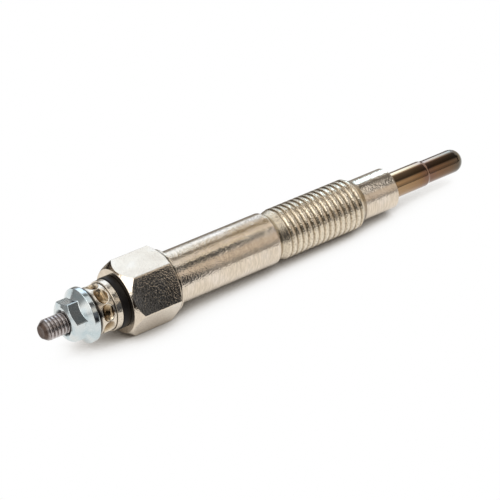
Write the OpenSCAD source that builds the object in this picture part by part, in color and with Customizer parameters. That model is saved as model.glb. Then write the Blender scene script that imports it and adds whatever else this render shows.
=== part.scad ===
// Diesel glow plug with a sheathed heater, M10 body thread and M4 terminal.
// The axis is X, with +X toward the heating tip, and +Z is up with a flat of the hexagon below.
// X = 0 is the front end of the full body thread, where the sealing cone begins. Sizes are in mm.

/* [Terminal] */
// Outside diameter of the M4 terminal thread
stud_d = 3.95; // [3.8:0.05:4]
// Length of thread that stands out of the nut
stud_out = 4.63; // [3:0.01:8]
// Length at the nut over which the crests give way to the thread inside it
stud_run_in = 0.2; // [0.1:0.05:0.5]
// Length of the cone that points the stud
stud_point_len = 1; // [0.4:0.1:1.5]
// Diameter of the flat on the stud's end
stud_flat_d = 2.5; // [1.5:0.1:3]
// Diameter of the rod that the thread is rolled on, its pitch diameter
rod_d = 3.545; // [3.2:0.005:3.6]

/* [Terminal nut] */
// Width across the flats of the nut
nut_af = 7; // [6:0.1:8]
// Height of the nut with its flange
nut_h = 4.73; // [4:0.01:6]
// Diameter of the flange
nut_flange_d = 10.4; // [9:0.1:12]
// Thickness of the flange at its rim
nut_flange_rim = 1.15; // [0.5:0.05:1.5]
// Height of the cone from the flange's rim up to the diameter of the top face
nut_flange_cone = 1.5; // [1:0.05:2]
// Diameter of the flat face at the nut's top
nut_face_d = 6; // [5.5:0.1:7]
// Diameter of the countersink in the nut's top
nut_sink_d = 5; // [4:0.1:5.5]
// Turn of the nut's hexagon about the axis, degrees
nut_turn = 20; // [0:1:59]

/* [Staked collar] */
// Length of the collar
collar_len = 5.02; // [4.5:0.01:7]
// Diameter of the collar's sleeve
collar_d = 8.9; // [8:0.1:9.4]
// Diameter of the foot that presses on the insulating washer
collar_foot_d = 9.5; // [9.2:0.1:11]
// Thickness of that foot
collar_foot_len = 1.2; // [0.6:0.05:1.4]
// Length of the rim under the nut that the stakes leave whole
collar_rim_len = 0.75; // [0.4:0.05:1.5]
// Number of stake marks around the sleeve
stake_count = 8; // [4:1:10]
// Width of a stake mark along the axis
stake_width = 2.3; // [1.4:0.1:2.3]
// Depth of a stake mark
stake_depth = 1; // [0.4:0.05:1.1]
// Radius of the round-nosed punch that made the marks
stake_punch_r = 2.4; // [2.4:0.1:3]
// Turn of the stake marks about the axis, degrees
stake_turn = 21; // [0:1:45]

/* [Insulation] */
// Diameter of the insulating washer
washer_d = 9.8; // [9:0.1:11]
// Thickness of the washer's visible disc
washer_len = 1.42; // [1:0.01:3]
// Rounding of the disc's outer edges
washer_edge = 0.2; // [0.05:0.05:0.5]
// Length of the spigot that enters the body
washer_spigot_len = 2; // [1:0.1:4]
// Diameter of the counterbore for the spigot and the sealing ring
counterbore_d = 7; // [6:0.1:8]
// Radial clearance of the washer in the counterbore and on the rod
washer_clear = 0.05; // [0.02:0.01:0.1]

/* [Body] */
// Width across the flats of the body's hexagon
hex_af = 12.5; // [11:0.1:14]
// Length of the hexagon and its turned land
hex_len = 10.8; // [8:0.1:14]
// Diameter of the flat face at the hexagon's terminal end
hex_back_face_d = 12.1; // [10:0.1:12.4]
// Diameter of the turned land ahead of the hexagon
hex_land_d = 12; // [10:0.1:12.4]
// Length of the turned land
hex_land_len = 0.7; // [0.2:0.05:2]
// Slope of the long bevel at the terminal end, axial mm for each radial mm
hex_back_slope = 1.43; // [0.4:0.01:1.8]
// Slope of the short bevel at the other end
hex_front_slope = 0.58; // [0.3:0.01:1]
// Diameter of the plain shank
shank_d = 10.05; // [9:0.05:11]
// Length of the plain shank
shank_len = 22.8; // [15:0.1:40]
// Diameter of the relief groove behind the thread
relief_d = 8.5; // [8:0.05:9.4]
// Width of the relief groove with its bevel
relief_len = 2.2; // [1.5:0.1:3]
// Length of the bevel that leads from the groove up to the thread
relief_bevel = 0.9; // [0.3:0.05:1]
// Bevel on the shank's edge above the groove
shank_bevel = 0.2; // [0.1:0.05:0.4]
// Outside diameter of the M10 x 1.25 body thread
thread_d = 9.85; // [9.7:0.01:10]
// Length of full thread
thread_len = 17; // [10:0.1:25]
// Length of the sealing cone in front of the thread
seat_len = 1.6; // [0.8:0.1:3]
// Diameter of the nose in front of the cone
nose_d = 8; // [7:0.05:8.6]
// Length of the nose
nose_len = 7.8; // [4:0.1:12]
// Bevel on the nose's front edge
nose_bevel = 0.2; // [0.05:0.05:0.6]
// Diameter of the bore around the rod
core_bore_d = 4.6; // [4:0.1:5]

/* [Heater] */
// Outside diameter of the sheath where it leaves the nose, a press fit in the nose
sheath_d = 5; // [4.5:0.05:5.5]
// Outside diameter of the reduced tip
tip_d = 4.55; // [4:0.05:5]
// Length of the full diameter in front of the nose
sheath_step_len = 8.5; // [5:0.1:15]
// Length of the swaged taper between the two diameters
sheath_taper_len = 0.5; // [0.2:0.1:2]
// Length of the sheath in front of the nose
sheath_out = 18.2; // [12:0.1:30]
// Length of the sheath that is pressed into the body
sheath_in = 23.4; // [12:0.1:30]
// Wall of the sheath
sheath_wall = 0.6; // [0.4:0.05:0.9]
// Depth of weld metal that closes the tip
tip_weld = 2.4; // [2.3:0.1:4]
// Diameter of the rod inside the sheath
rod_neck_d = 2.2; // [1.8:0.1:2.6]
// Diameter of the spigot that carries the coil
rod_spigot_d = 1.7; // [1.2:0.1:2]
// Length of that spigot
rod_spigot_len = 3; // [2:0.1:5]
// Gap between the rod's shoulder and the sheath's open end
rod_shoulder_gap = 1; // [0.5:0.1:4]
// Length of the rubber seal in the sheath's open end
seal_len = 3; // [2:0.1:6]
// Length of neck between the seal and the spigot
neck_len = 7; // [3:0.1:12]
// Wire diameter of the coils
wire_d = 0.4; // [0.3:0.05:0.5]
// Length of the control coil
control_coil_len = 12; // [8:0.1:14]
// Turns of the control coil
control_turns = 8; // [5:1:10]
// Turns of the heating coil
heater_turns = 16; // [10:1:20]
// Diameter of the fused wire end that joins the heating coil to the tip
coil_weld_d = 0.3; // [0.2:0.01:0.34]
// Length of that fused end
coil_weld_len = 0.6; // [0.4:0.1:2]

/* [Hidden] */
facets = 64;
small_facets = 32;
coil_steps = 12;
coil_sides = 6;
spill = 1;

// Stations along the axis
x_seat = 0;
x_nose = x_seat + seat_len;
x_nose_end = x_nose + nose_len;
x_thread = x_seat - thread_len;
x_shank_end = x_thread - relief_len;
x_hex_front = x_shank_end - shank_len;
x_hex_back = x_hex_front - hex_len;
x_washer = x_hex_back - washer_len;
x_collar = x_washer - collar_len;
x_nut_top = x_collar - nut_h;
x_stud_end = x_nut_top - stud_out;
x_sheath_back = x_nose_end - sheath_in;
x_step = x_nose_end + sheath_step_len;
x_taper_end = x_step + sheath_taper_len;
x_tip = x_nose_end + sheath_out;
x_tip_round = x_tip - tip_d/2;
x_weld = x_tip - tip_weld;
x_shoulder = x_sheath_back - rod_shoulder_gap;
x_seal_end = x_sheath_back + seal_len;
x_spigot = x_seal_end + neck_len;
x_spigot_end = x_spigot + rod_spigot_len;
x_coil_join = x_spigot + control_coil_len;
x_channel_end = x_weld - coil_weld_len;

// Radii that two parts share
rod_r = rod_d/2;
counterbore_r = counterbore_d/2;
sheath_bore_r = sheath_d/2 - sheath_wall;
tip_bore_r = tip_d/2 - sheath_wall;
spigot_r = rod_spigot_d/2;
wire_r = wire_d/2;
coil_r = spigot_r/cos(180/coil_steps) + wire_r;
channel_r = coil_r + wire_r;
wire_half = wire_r*sin(360/coil_sides);

// Sealing ring that fills the space between the rod and the counterbore
ring_r = (counterbore_r - rod_r)/2;
x_ring = x_hex_back + washer_spigot_len + ring_r;
x_counterbore_end = x_ring + ring_r;

hex_corner_r = hex_af/2/cos(30);
nut_corner_r = nut_af/2/cos(30);
stake_reach = collar_d/2 + stake_punch_r - stake_depth;
x_stake = x_collar + collar_rim_len + (collar_len - collar_rim_len - collar_foot_len)/2;

// Solid of revolution about X from points given as [radius, x]
module turned(points, sides = facets) {
    rotate([0, 90, 0])
        rotate_extrude($fn = sides)
            polygon(points);
}

// Round bar about X between two stations
module bar(r, x0, x1, sides = facets) {
    translate([x0, 0, 0])
        rotate([0, 90, 0])
            cylinder(r = r, h = x1 - x0, $fn = sides);
}

// Hexagonal bar about X with a flat below when it isn't turned
module hex_bar(corner_r, x0, x1, angle = 0) {
    translate([x0, 0, 0])
        rotate([angle, 0, 0])
            rotate([0, 90, 0])
                rotate([0, 0, 30])
                    cylinder(r = corner_r, h = x1 - x0, $fn = 6);
}

// Wire coil as rings of points around the helix, with closed ends
module coil(x0, x1, turns, start_angle) {
    steps = turns*coil_steps;
    ring = [for (s = [0:coil_sides - 1]) [wire_r*cos(360*s/coil_sides), wire_r*sin(360*s/coil_sides)]];
    points = [
        for (i = [0:steps])
            let (a = start_angle + 360*i/coil_steps, x = x0 + (x1 - x0)*i/steps)
                for (p = ring) [x + p[1], (coil_r + p[0])*cos(a), (coil_r + p[0])*sin(a)]
    ];
    sides = [
        for (i = [0:steps - 1])
            for (s = [0:coil_sides - 1])
                let (t = (s + 1)%coil_sides, b = i*coil_sides)
                    for (f = [[b + s, b + t, b + coil_sides + t], [b + s, b + coil_sides + t, b + coil_sides + s]]) f
    ];
    first_end = [for (s = [1:coil_sides - 2]) [0, s + 1, s]];
    last_end = [for (s = [1:coil_sides - 2]) [0, s, s + 1] + steps*coil_sides*[1, 1, 1]];
    polyhedron(points = points, faces = concat(sides, first_end, last_end));
}

// Straight end of the coil's wire, fused into the weld at the tip
module coil_weld(x0, x1) {
    translate([0, coil_r, 0])
        bar(coil_weld_d/2, x0, x1, small_facets);
}

// One-piece steel body: hexagon, shank, thread blank, sealing cone and nose
module body_shell() {
    hex_limit = hex_corner_r + spill;
    color([0.80, 0.76, 0.69])
        difference() {
            union() {
                intersection() {
                    hex_bar(hex_corner_r, x_hex_back, x_hex_front);
                    turned([
                        [0, x_hex_back],
                        [hex_back_face_d/2, x_hex_back],
                        [hex_limit, x_hex_back + hex_back_slope*(hex_limit - hex_back_face_d/2)],
                        [hex_limit, x_hex_front - hex_land_len - hex_front_slope*(hex_limit - hex_land_d/2)],
                        [hex_land_d/2, x_hex_front - hex_land_len],
                        [hex_land_d/2, x_hex_front],
                        [0, x_hex_front]
                    ]);
                }
                turned([
                    [0, x_hex_front - spill],
                    [shank_d/2, x_hex_front - spill],
                    [shank_d/2, x_shank_end - shank_bevel],
                    [shank_d/2 - shank_bevel, x_shank_end],
                    [relief_d/2, x_shank_end],
                    [relief_d/2, x_thread - relief_bevel],
                    [thread_d/2, x_thread],
                    [thread_d/2, x_seat],
                    [nose_d/2, x_nose],
                    [nose_d/2, x_nose_end - nose_bevel],
                    [nose_d/2 - nose_bevel, x_nose_end],
                    [0, x_nose_end]
                ]);
            }
            bar(counterbore_r, x_hex_back - spill, x_counterbore_end);
            bar(core_bore_d/2, x_counterbore_end - spill, x_sheath_back + spill);
            bar(sheath_d/2, x_sheath_back, x_nose_end + spill);
        }
}

// Heat-resisting tube, swaged smaller toward the tip and welded shut
module heater_sheath() {
    color([0.45, 0.37, 0.27])
        union() {
            difference() {
                union() {
                    turned([
                        [0, x_sheath_back],
                        [sheath_d/2, x_sheath_back],
                        [sheath_d/2, x_step],
                        [tip_d/2, x_taper_end],
                        [tip_d/2, x_tip_round],
                        [0, x_tip_round]
                    ]);
                    translate([x_tip_round, 0, 0])
                        rotate([0, 90, 0])
                            sphere(r = tip_d/2, $fn = facets);
                }
                turned([
                    [0, x_sheath_back - spill],
                    [sheath_bore_r, x_sheath_back - spill],
                    [sheath_bore_r, x_step],
                    [tip_bore_r, x_taper_end],
                    [tip_bore_r, x_weld],
                    [0, x_weld]
                ]);
            }
            coil_weld(x_channel_end, x_weld + spill);
        }
}

// Coil at the tip that glows
module heating_coil() {
    color([0.62, 0.60, 0.58])
        coil(x_coil_join, x_channel_end - wire_half, heater_turns, control_turns*360);
}

// Coil behind it whose resistance rises with heat and limits the current
module control_coil() {
    color([0.52, 0.55, 0.58])
        coil(x_spigot + wire_half, x_coil_join, control_turns, 0);
}

// Compacted magnesia powder, with a plain annular channel where the coils lie
module magnesia_fill() {
    color([0.92, 0.91, 0.88])
        difference() {
            rotate([0, 90, 0])
                rotate_extrude($fn = facets)
                    difference() {
                        polygon([
                            [rod_neck_d/2, x_seal_end],
                            [sheath_bore_r, x_seal_end],
                            [sheath_bore_r, x_step],
                            [tip_bore_r, x_taper_end],
                            [tip_bore_r, x_weld],
                            [0, x_weld],
                            [0, x_spigot_end],
                            [channel_r, x_spigot_end],
                            [channel_r, x_spigot],
                            [rod_neck_d/2, x_spigot]
                        ]);
                        translate([spigot_r, x_spigot])
                            square([channel_r - spigot_r, x_channel_end - x_spigot]);
                    }
            coil_weld(x_channel_end - spill, x_weld + spill);
        }
}

// Rubber seal that closes the sheath around the rod's neck
module sheath_seal() {
    color([0.30, 0.14, 0.10])
        difference() {
            bar(sheath_bore_r, x_sheath_back, x_seal_end);
            bar(rod_neck_d/2, x_sheath_back - spill, x_seal_end + spill);
        }
}

// Current-carrying rod, necked inside the sheath and threaded at the terminal
module terminal_rod() {
    color([0.60, 0.56, 0.54])
        turned([
            [0, x_stud_end],
            [stud_flat_d/2, x_stud_end],
            [stud_d/2, x_stud_end + stud_point_len],
            [stud_d/2, x_nut_top - stud_run_in],
            [rod_r, x_nut_top],
            [rod_r, x_shoulder],
            [rod_neck_d/2, x_shoulder],
            [rod_neck_d/2, x_spigot],
            [spigot_r, x_spigot],
            [spigot_r, x_spigot_end],
            [0, x_spigot_end]
        ]);
}

// Rubber ring that seals the rod in the counterbore
module sealing_ring() {
    color([0.12, 0.12, 0.12])
        translate([x_ring, 0, 0])
            rotate([0, 90, 0])
                rotate_extrude($fn = facets)
                    translate([(rod_r + counterbore_r)/2, 0])
                        circle(r = ring_r, $fn = small_facets);
}

// Black washer with a spigot, which keeps the terminal clear of the body
module insulating_washer() {
    color([0.08, 0.08, 0.08])
        turned([
            [rod_r + washer_clear, x_washer],
            [washer_d/2 - washer_edge, x_washer],
            [washer_d/2, x_washer + washer_edge],
            [washer_d/2, x_hex_back - washer_edge],
            [washer_d/2 - washer_edge, x_hex_back],
            [counterbore_r - washer_clear, x_hex_back],
            [counterbore_r - washer_clear, x_hex_back + washer_spigot_len],
            [rod_r + washer_clear, x_hex_back + washer_spigot_len]
        ]);
}

// Round-nosed punch that leaves one stake mark
module stake_punch() {
    rotate([0, 90, 0])
        rotate_extrude($fn = facets)
            translate([stake_punch_r - stake_width/2, 0])
                circle(r = stake_width/2, $fn = small_facets);
}

// Collar staked onto the rod by a ring of punch marks in its sleeve
module staked_collar() {
    color([0.82, 0.75, 0.62])
        difference() {
            turned([
                [rod_r, x_collar],
                [collar_d/2, x_collar],
                [collar_d/2, x_washer - collar_foot_len],
                [collar_foot_d/2, x_washer - collar_foot_len],
                [collar_foot_d/2, x_washer],
                [rod_r, x_washer]
            ]);
            for (i = [0:stake_count - 1])
                rotate([360*i/stake_count - stake_turn, 0, 0])
                    translate([x_stake, -stake_reach, 0])
                        stake_punch();
        }
}

// Flanged hexagon nut that clamps the supply lead
module terminal_nut() {
    nut_limit = nut_corner_r + spill;
    color([0.78, 0.82, 0.84])
        difference() {
            union() {
                intersection() {
                    hex_bar(nut_corner_r, x_nut_top, x_collar, -nut_turn);
                    turned([
                        [0, x_nut_top],
                        [nut_face_d/2, x_nut_top],
                        [nut_limit, x_nut_top + hex_front_slope*(nut_limit - nut_face_d/2)],
                        [nut_limit, x_collar],
                        [0, x_collar]
                    ]);
                }
                turned([
                    [0, x_collar - nut_flange_rim - nut_flange_cone],
                    [nut_face_d/2, x_collar - nut_flange_rim - nut_flange_cone],
                    [nut_flange_d/2, x_collar - nut_flange_rim],
                    [nut_flange_d/2, x_collar],
                    [0, x_collar]
                ]);
            }
            bar(rod_r, x_nut_top - spill, x_collar + spill);
            turned([
                [0, x_nut_top - spill],
                [nut_sink_d/2 + spill, x_nut_top - spill],
                [rod_r, x_nut_top + nut_sink_d/2 - rod_r],
                [0, x_nut_top + nut_sink_d/2 - rod_r]
            ]);
        }
}

body_shell();
heater_sheath();
heating_coil();
control_coil();
magnesia_fill();
sheath_seal();
terminal_rod();
sealing_ring();
insulating_washer();
staked_collar();
terminal_nut();
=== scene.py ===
import math

import bmesh
import bpy
import numpy as np
from mathutils import Matrix, Vector


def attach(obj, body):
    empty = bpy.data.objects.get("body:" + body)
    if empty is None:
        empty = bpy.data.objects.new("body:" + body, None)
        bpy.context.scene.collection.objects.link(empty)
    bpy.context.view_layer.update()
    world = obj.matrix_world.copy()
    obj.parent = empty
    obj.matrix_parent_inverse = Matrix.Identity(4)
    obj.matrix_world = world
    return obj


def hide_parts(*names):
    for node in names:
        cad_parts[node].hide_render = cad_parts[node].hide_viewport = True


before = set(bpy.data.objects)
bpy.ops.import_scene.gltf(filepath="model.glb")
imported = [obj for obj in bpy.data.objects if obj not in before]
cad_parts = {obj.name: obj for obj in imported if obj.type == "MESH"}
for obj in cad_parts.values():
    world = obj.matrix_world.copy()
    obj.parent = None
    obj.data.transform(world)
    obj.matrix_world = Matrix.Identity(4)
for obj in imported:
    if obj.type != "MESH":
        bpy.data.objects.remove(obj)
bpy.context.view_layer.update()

# Sizes are in millimetres, which MM turns into metres. The axis is X with the heating tip at +X. A name
# that ends in _R is a radius, and one in _BEVEL is a bevel's run for each millimetre of rise.
MM = 0.001

# Columns round a turned piece, and how much they bunch up at a hexagon's corners
COLUMNS = 144
CORNER_BUNCH = 0.7

# The kinds of node that are used most
MATH = "ShaderNodeMath"
RANGE = "ShaderNodeMapRange"
RAMP = "ShaderNodeValToRGB"
NOISE = "ShaderNodeTexNoise"
MIX = "ShaderNodeMix"
BUMP = "ShaderNodeBump"

# Flange nut, with a hexagon, a countersink at 45 degrees and a coned flange
NUT_TOP = -63.97
NUT_FLATS = 7.0
NUT_TOP_R = 3.0
NUT_MOUTH_R = 2.5
NUT_BEVEL = 0.58
FLANGE_TOP = -61.89
FLANGE_RIM = -60.39
FLANGE_R = 5.2
FLANGE_SLOPE = (FLANGE_RIM - FLANGE_TOP) / (FLANGE_R - NUT_TOP_R)

# Terminal rod, with a pointed stud, a plain length, a neck in the sheath and a spigot for the coil
STUD_END = -68.6
STUD_R = 1.975
STUD_POINT_R = 1.25
STUD_ROOT_R = 1.5
ROD_R = 1.7725
NUT_SINK = NUT_TOP + NUT_MOUTH_R - ROD_R
NECK = -15.0
NECK_R = 1.1
COIL_SPIGOT = -4.0
COIL_SPIGOT_R = 0.85
ROD_END = -1.0

# Staked collar, from its rim under the nut to its foot on the washer
COLLAR = -59.24
COLLAR_RIM_END = COLLAR + 0.75
COLLAR_R = 4.45
COLLAR_COLUMNS = 288
WASHER = -54.22
FOOT = WASHER - 1.2
FOOT_R = 4.75

# Body, from the hexagon to the nose
HEX_BACK = -52.8
HEX_LAND = -42.7
HEX_FRONT = -42.0
HEX_FLATS = 12.5
HEX_END_R = 6.05
HEX_LAND_R = 6.0
HEX_BACK_BEVEL = 1.43
HEX_FRONT_BEVEL = 0.58
COUNTERBORE_END = -49.0725
COUNTERBORE_R = 3.5
BORE_R = 2.3
SHANK_END = -19.2
SHANK_R = 5.025
SHANK_EDGE = 0.35
SHANK_EDGE_DROP = 0.3
RELIEF_END = -18.9
RELIEF_R = 4.25
THREAD_R = 4.925
NOSE = 1.6
NOSE_R = 4.0
NOSE_END = 9.4
NOSE_EDGE = 0.2

# Insulating washer and the spigot that centres it in the body
WASHER_R = 4.9
WASHER_BORE_R = 1.8225
SPIGOT_END = HEX_BACK + 2.0
SPIGOT_R = 3.45

# Heater sheath, swaged thinner between the step and the end of the taper
SHEATH_BACK = -14.0
SHEATH_R = 2.5
SHEATH_BORE_R = 1.9
STEP = 17.9
TAPER_END = 18.4
TIP = 27.6
TIP_R = 2.275
TIP_ROUND = TIP - TIP_R
TIP_BORE_R = 1.675
TIP_BORE_END = 25.2

# The table touches the hexagon and the front of the thread this far apart
REST_SPAN = 42.145


def linear(hex_colour):
    """An sRGB hex colour as linear red, green, blue and alpha."""
    parts = [int(hex_colour[i:i + 2], 16) / 255 for i in (1, 3, 5)]
    return tuple(c / 12.92 if c <= 0.04045 else ((c + 0.055) / 1.055) ** 2.4 for c in parts) + (1.0,)


def feed(tree, node, inputs):
    """Sets a node's inputs, each to a value or to a link from a socket or a node's first output."""
    for key, value in inputs.items():
        if isinstance(value, bpy.types.Node):
            tree.links.new(value.outputs[0], node.inputs[key])
        elif isinstance(value, bpy.types.NodeSocket):
            tree.links.new(value, node.inputs[key])
        else:
            node.inputs[key].default_value = value


def add(tree, kind, inputs=None, stops=None, **settings):
    """Adds a node with its settings, its input values or links and, on a ramp, its colour stops.
    Inputs 1 to 4 of a Map Range are the range that it reads and the range that it gives, and inputs 6
    and 7 of a Mix are its two colours."""
    node = tree.nodes.new(kind)
    for name, value in settings.items():
        setattr(node, name, value)
    feed(tree, node, inputs or {})
    if stops:
        ramp = node.color_ramp
        while len(ramp.elements) < len(stops):
            ramp.elements.new(1.0)
        for element, (place, colour) in zip(ramp.elements, stops):
            element.position = place
            element.color = linear(colour) if isinstance(colour, str) else (colour, colour, colour, 1.0)
    return node


def finish_of(name):
    """A new material's node tree, its shader and the Object coordinates that its patterns read."""
    material = bpy.data.materials.new(name)
    material.use_nodes = True
    tree = material.node_tree
    shader = tree.nodes["Principled BSDF"]
    place = add(tree, "ShaderNodeTexCoord").outputs["Object"]
    return material, tree, shader, place


def station_and_radius(tree, place):
    """A point's station along the plug's axis and its distance from the axis."""
    axes = add(tree, "ShaderNodeSeparateXYZ", {0: place})
    flat = add(tree, "ShaderNodeCombineXYZ", {1: axes.outputs["Y"], 2: axes.outputs["Z"]})
    radius = add(tree, "ShaderNodeVectorMath", {0: flat}, operation="LENGTH")
    return axes.outputs["X"], radius.outputs["Value"]


def nickel_plated_turned_steel():
    """Bright nickel over turned steel: warm champagne, with turning marks that fray its reflections."""
    material, tree, shader, place = finish_of("nickel_plated_turned_steel")
    axes = add(tree, "ShaderNodeSeparateXYZ", {0: place})
    # Turning marks 0.12 mm wide, drawn at 0.3 mm so that they show at this size, and about 1.5 mm long
    width, length = 0.3 * MM, 1.5 * MM
    stretched = add(tree, "ShaderNodeMapping", {
        "Vector": place, "Scale": (1 / width, 1 / length, 1 / length)})
    marks = add(tree, NOISE, {"Vector": stretched, "Scale": 1.0, "Detail": 2.0})
    # Orange peel of the plating, 0.3 mm across
    peel = add(tree, NOISE, {"Vector": place, "Scale": 1 / (0.3 * MM), "Detail": 1.0})
    # Thickness of the plating wanders over about 4 mm
    drift = add(tree, NOISE, {"Vector": place, "Scale": 1 / (4 * MM), "Detail": 2.0})
    tone = add(tree, RAMP, {0: drift}, stops=[(0.3, "#dccdb8"), (0.5, "#e1d2be"), (0.7, "#e5d8c8")])
    speckle = add(tree, RANGE, {0: marks, 1: 0.35, 2: 0.65, 3: 0.86, 4: 1.0})
    # Painted shade: dark lines on the land beside the hexagon and in the corner behind the shank's edge
    by_land = add(tree, MATH, {0: axes.outputs["X"], 1: (HEX_LAND + 0.2) * MM, 2: 0.15 * MM},
                  operation="COMPARE")
    by_edge = add(tree, MATH, {0: axes.outputs["X"], 1: (SHANK_END + 0.12) * MM, 2: 0.12 * MM},
                  operation="COMPARE")
    lines = add(tree, MATH, {0: by_land, 1: by_edge}, operation="MAXIMUM")
    line_shade = add(tree, RANGE, {0: lines, 3: 1.0, 4: 0.45})
    speckle_and_painted_shade = add(tree, MATH, {0: speckle, 1: line_shade}, operation="MULTIPLY")
    colour = add(tree, MIX, {0: 1.0, 6: tone, 7: speckle_and_painted_shade}, data_type="RGBA", blend_type="MULTIPLY")
    bump = add(tree, BUMP, {"Height": peel, "Strength": 0.8, "Distance": 0.05 * MM})
    gloss = add(tree, RANGE, {0: marks, 1: 0.3, 2: 0.7, 3: 0.08, 4: 0.15})
    back = add(tree, MATH, {0: axes.outputs["Z"], 1: -1.0}, operation="MULTIPLY")
    round_axis = add(tree, "ShaderNodeCombineXYZ", {1: back, 2: axes.outputs["Y"]})
    tangent = add(tree, "ShaderNodeVectorMath", {0: round_axis}, operation="NORMALIZE")
    feed(tree, shader, {"Base Color": colour.outputs[2], "Roughness": gloss, "Normal": bump,
                        "Tangent": tangent, "Metallic": 1.0, "Anisotropic": 0.25,
                        "Anisotropic Rotation": 0.25})
    return material


def nickel_plated_rolled_thread():
    """Bright nickel over a rolled thread: pale burnished crests, and painted brown shade in the roots."""
    material, tree, shader, place = finish_of("nickel_plated_rolled_thread")
    station, radius = station_and_radius(tree, place)
    # Nicks along the crests, 0.3 mm across
    nicks = add(tree, NOISE, {"Vector": place, "Scale": 1 / (0.3 * MM), "Detail": 2.0})
    uneven = add(tree, RANGE, {0: nicks, 3: -0.15 * MM, 4: 0.15 * MM})
    height = add(tree, MATH, {0: radius, 1: uneven}, operation="ADD")
    depth = add(tree, RANGE, {0: height, 1: (THREAD_R - 0.415) * MM, 2: (THREAD_R - 0.005) * MM})
    # The cone that runs in to the first turn, 2 mm long, has no painted root shade but a painted shade line
    # in the corner behind the shank's edge
    past = add(tree, MATH, {0: station, 1: RELIEF_END * MM}, operation="SUBTRACT")
    run_in = add(tree, MATH, {0: past, 1: 1 / (2 * MM)}, operation="MULTIPLY")
    cone = add(tree, RAMP, {0: run_in}, stops=[(0.15, 0.1), (0.24, 0.66), (0.65, 0.72), (0.9, 0.0)])
    shade_free = add(tree, MATH, {0: depth, 1: cone}, operation="MAXIMUM")
    # Painted shade: the roots are a darker brown than the crests
    tone = add(tree, RAMP, {0: shade_free}, stops=[(0.0, "#a08f76"), (0.3, "#c4b59c"), (1.0, "#e4d6c0")])
    speckle = add(tree, RANGE, {0: nicks, 1: 0.38, 2: 0.56, 3: 0.78, 4: 1.0})
    colour = add(tree, MIX, {0: 1.0, 6: tone, 7: speckle}, data_type="RGBA", blend_type="MULTIPLY")
    bump = add(tree, BUMP, {"Height": nicks, "Strength": 1.0, "Distance": 0.06 * MM})
    gloss = add(tree, RANGE, {0: depth, 3: 0.25, 4: 0.14})
    feed(tree, shader, {"Base Color": colour.outputs[2], "Roughness": gloss, "Normal": bump, "Metallic": 1.0})
    return material


def nickel_plated_drawn_bar():
    """Bright nickel over drawn hexagon bar: champagne with a peppery grain that breaks up reflections."""
    material, tree, shader, place = finish_of("nickel_plated_drawn_bar")
    # Drawn-bar pitting, 0.15 mm across, drawn at 0.25 mm so that it shows at this size
    pits = add(tree, NOISE, {"Vector": place, "Scale": 1 / (0.25 * MM), "Detail": 1.0})
    drift = add(tree, NOISE, {"Vector": place, "Scale": 1 / (4 * MM), "Detail": 2.0})
    tone = add(tree, RAMP, {0: drift}, stops=[(0.3, "#d9cbb8"), (0.5, "#dfd2bf"), (0.7, "#e3d8c9")])
    speckle = add(tree, RANGE, {0: pits, 1: 0.35, 2: 0.6, 3: 0.9, 4: 1.0})
    colour = add(tree, MIX, {0: 1.0, 6: tone, 7: speckle}, data_type="RGBA", blend_type="MULTIPLY")
    bump = add(tree, BUMP, {"Height": pits, "Strength": 0.8, "Distance": 0.05 * MM})
    gloss = add(tree, RANGE, {0: pits, 1: 0.3, 2: 0.7, 3: 0.08, 4: 0.12})
    feed(tree, shader, {"Base Color": colour.outputs[2], "Roughness": gloss, "Normal": bump, "Metallic": 1.0})
    return material


def nickel_plated_staked_steel():
    """Softer nickel on the collar: creamier than the body, with painted brown shade where it was punched."""
    material, tree, shader, place = finish_of("nickel_plated_staked_steel")
    station, radius = station_and_radius(tree, place)
    depth = add(tree, RANGE, {0: radius, 1: (COLLAR_R - 1.05) * MM, 2: (COLLAR_R - 0.05) * MM})
    # Scuffs from the punch, 0.3 mm across
    scuff = add(tree, NOISE, {"Vector": place, "Scale": 1 / (0.3 * MM), "Detail": 3.0})
    # Painted shade: the deeper into a punched mark, the darker brown
    tone = add(tree, RAMP, {0: depth},
               stops=[(0.0, "#6a5337"), (0.45, "#ab9474"), (0.8, "#d6c5ab"), (1.0, "#e6dac8")])
    scuffed = add(tree, RANGE, {0: scuff, 1: 0.35, 2: 0.65, 3: 0.8, 4: 1.0})
    # Painted shade in the joint under the nut and in the corner above the foot
    under_nut = add(tree, RANGE, {0: station, 1: (COLLAR + 0.6) * MM, 2: (COLLAR + 0.9) * MM,
                                  3: 0.08, 4: 1.0})
    from_foot = add(tree, MATH, {0: station, 1: FOOT * MM, 2: 0.13 * MM}, operation="COMPARE")
    in_corner = add(tree, MATH, {0: radius, 1: (FOOT_R - 0.2) * MM}, operation="LESS_THAN")
    corner = add(tree, MATH, {0: from_foot, 1: in_corner}, operation="MULTIPLY")
    above_foot = add(tree, RANGE, {0: corner, 3: 1.0, 4: 0.25})
    collar_joint_shade = add(tree, MATH, {0: under_nut, 1: above_foot}, operation="MULTIPLY")
    scuffs_and_painted_shade = add(tree, MATH, {0: scuffed, 1: collar_joint_shade}, operation="MULTIPLY")
    colour = add(tree, MIX, {0: 1.0, 6: tone, 7: scuffs_and_painted_shade}, data_type="RGBA", blend_type="MULTIPLY")
    bump = add(tree, BUMP, {"Height": scuff, "Strength": 0.6, "Distance": 0.07 * MM})
    gloss = add(tree, RANGE, {0: scuff, 1: 0.3, 2: 0.7, 3: 0.08, 4: 0.18})
    feed(tree, shader, {"Base Color": colour.outputs[2], "Roughness": gloss, "Normal": bump, "Metallic": 1.0})
    return material


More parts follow.
